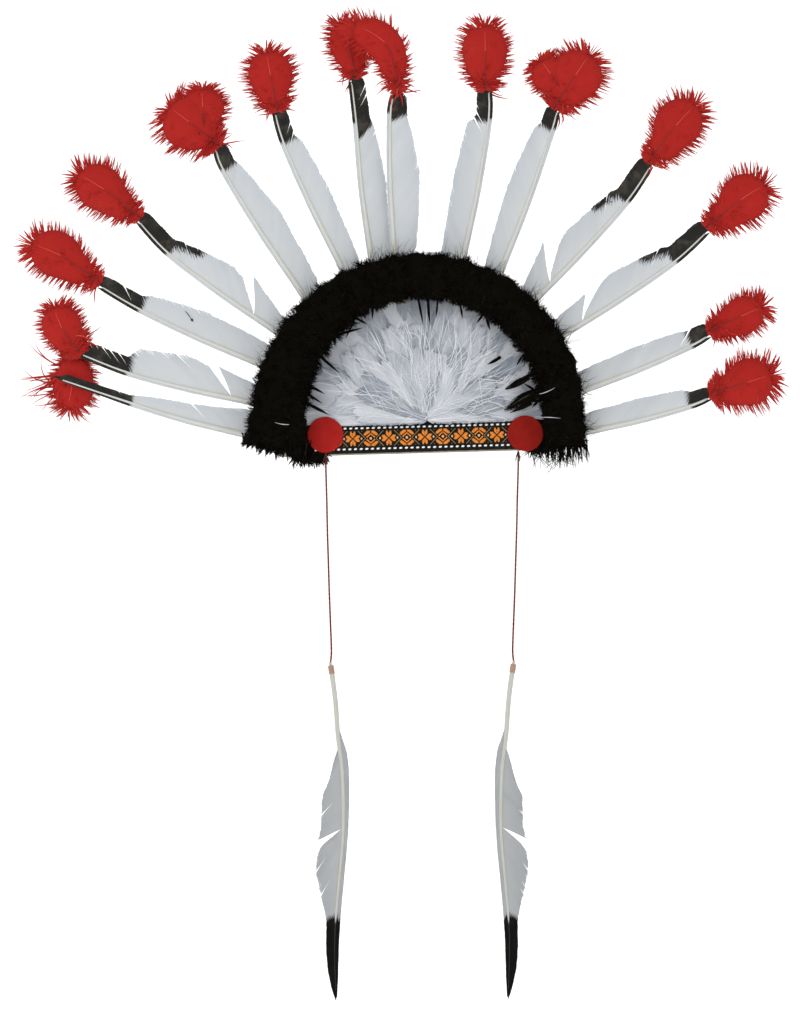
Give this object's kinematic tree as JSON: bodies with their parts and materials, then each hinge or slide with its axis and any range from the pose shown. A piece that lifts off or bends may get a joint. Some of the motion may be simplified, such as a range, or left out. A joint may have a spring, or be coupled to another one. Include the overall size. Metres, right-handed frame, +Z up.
{
  "type": "feathered headdress",
  "caption": "Fan headdress with tall white feathers, red tip plumes, black boa arch, hackle panel, woven ribbon band, felt rosettes and hanging drop feathers.",
  "frame": {"origin": "forehead seat: the middle of the band on the back face of the backing", "axes": "+Z up along the fan, +Y back into the wearer's head, so the front faces -Y, +X to the right as seen from the front"},
  "size_m": [0.6601, 0.202, 0.8414],
  "materials": {
    "backing_felt": "matt felt",
    "ribbon": "woven jacquard with satin floats",
    "red_felt": "matt felt",
    "black_boa": "soft marabou fluff",
    "white_hackle": "soft feather",
    "tall_feather": "satin feather vane, black tip",
    "red_plume": "soft marabou plume",
    "red_cord": "twisted thread",
    "drop_feather": "satin feather vane, black tip",
    "elastic": "braided elastic"
  },
  "bodies": {
    "root": {"backing_panel": "backing_felt", "ribbon_band": "ribbon", "rosette_left": "red_felt", "rosette_right": "red_felt", "boa_arch": "black_boa", "hackle_row_outer": "white_hackle", "hackle_row_middle": "white_hackle", "hackle_row_inner": "white_hackle", "tall_feather_01": "tall_feather", "tall_feather_02": "tall_feather", "tall_feather_03": "tall_feather", "tall_feather_04": "tall_feather", "tall_feather_05": "tall_feather", "tall_feather_06": "tall_feather", "tall_feather_07": "tall_feather", "tall_feather_08": "tall_feather", "tall_feather_09": "tall_feather", "tall_feather_10": "tall_feather", "tall_feather_11": "tall_feather", "tall_feather_12": "tall_feather", "tall_feather_13": "tall_feather", "tall_feather_14": "tall_feather", "tip_plume_01": "red_plume", "tip_plume_02": "red_plume", "tip_plume_03": "red_plume", "tip_plume_04": "red_plume", "tip_plume_05": "red_plume", "tip_plume_06": "red_plume", "tip_plume_07": "red_plume", "tip_plume_08": "red_plume", "tip_plume_09": "red_plume", "tip_plume_10": "red_plume", "tip_plume_11": "red_plume", "tip_plume_12": "red_plume", "tip_plume_13": "red_plume", "tip_plume_14": "red_plume", "cord_left": "red_cord", "cord_right": "red_cord", "drop_feather_left": "drop_feather", "drop_feather_right": "drop_feather", "elastic_strap": "elastic"}
  },
  "joints": []
}
